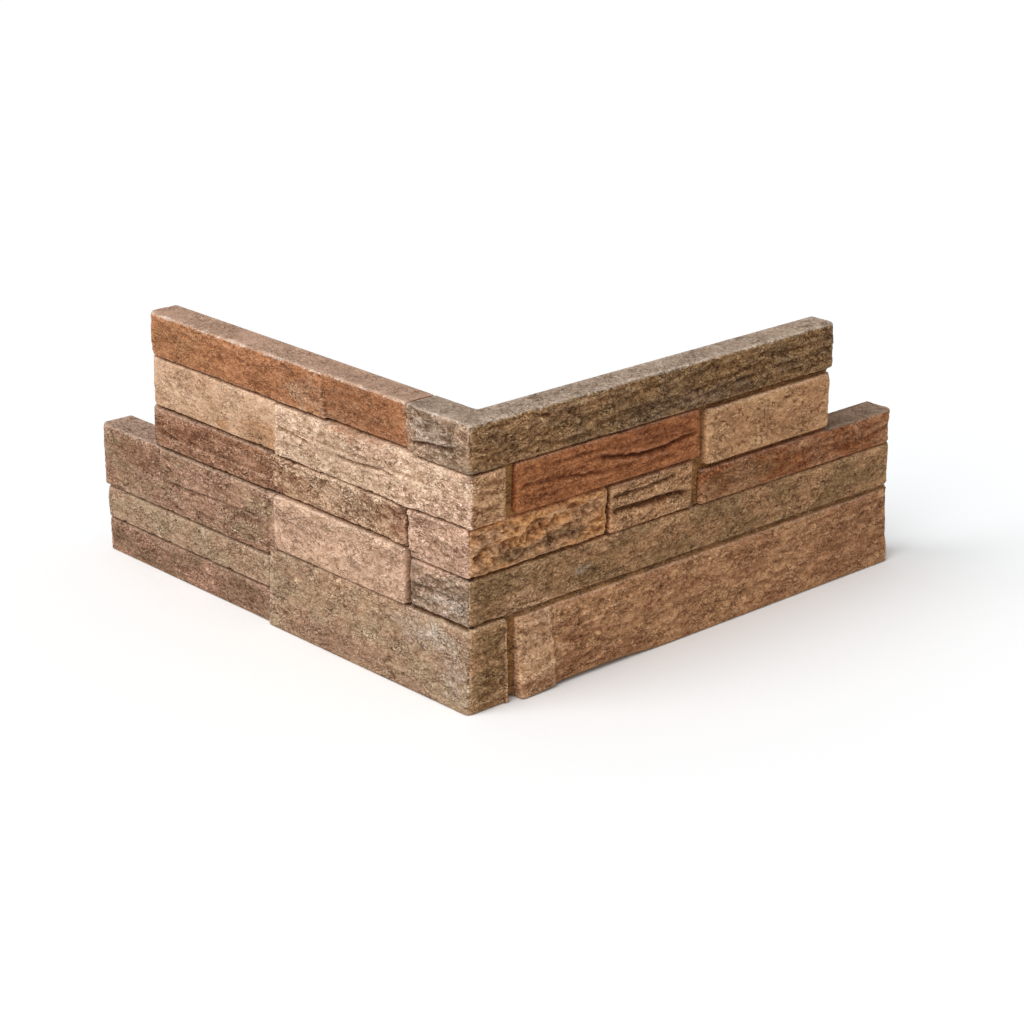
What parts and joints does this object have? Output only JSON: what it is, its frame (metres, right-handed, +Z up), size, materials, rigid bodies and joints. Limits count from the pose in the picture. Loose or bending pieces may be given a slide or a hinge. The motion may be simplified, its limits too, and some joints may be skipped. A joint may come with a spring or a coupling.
{
  "type": "brick veneer corner",
  "caption": "L-shaped veneer corner cast in one piece: two legs faced with rough stacked thin stones in mixed earth colours, stepped ends, and a flat back that glues to a wall's outside corner.",
  "frame": {"origin": "the wall's outside corner at the level of the unit's bed, which is the inner corner of the L at its bottom", "axes": "+Z up along the wall's corner, +X along the right leg as seen from outside, +Y along the left leg; the stone faces look towards -X and -Y"},
  "size_m": [0.3162, 0.3082, 0.15],
  "materials": {
    "cast_stone": "matte, rough split-stone texture in mixed browns, tans, reds and greys"
  },
  "bodies": {
    "root": {"veneer_corner": "cast_stone"}
  },
  "joints": []
}
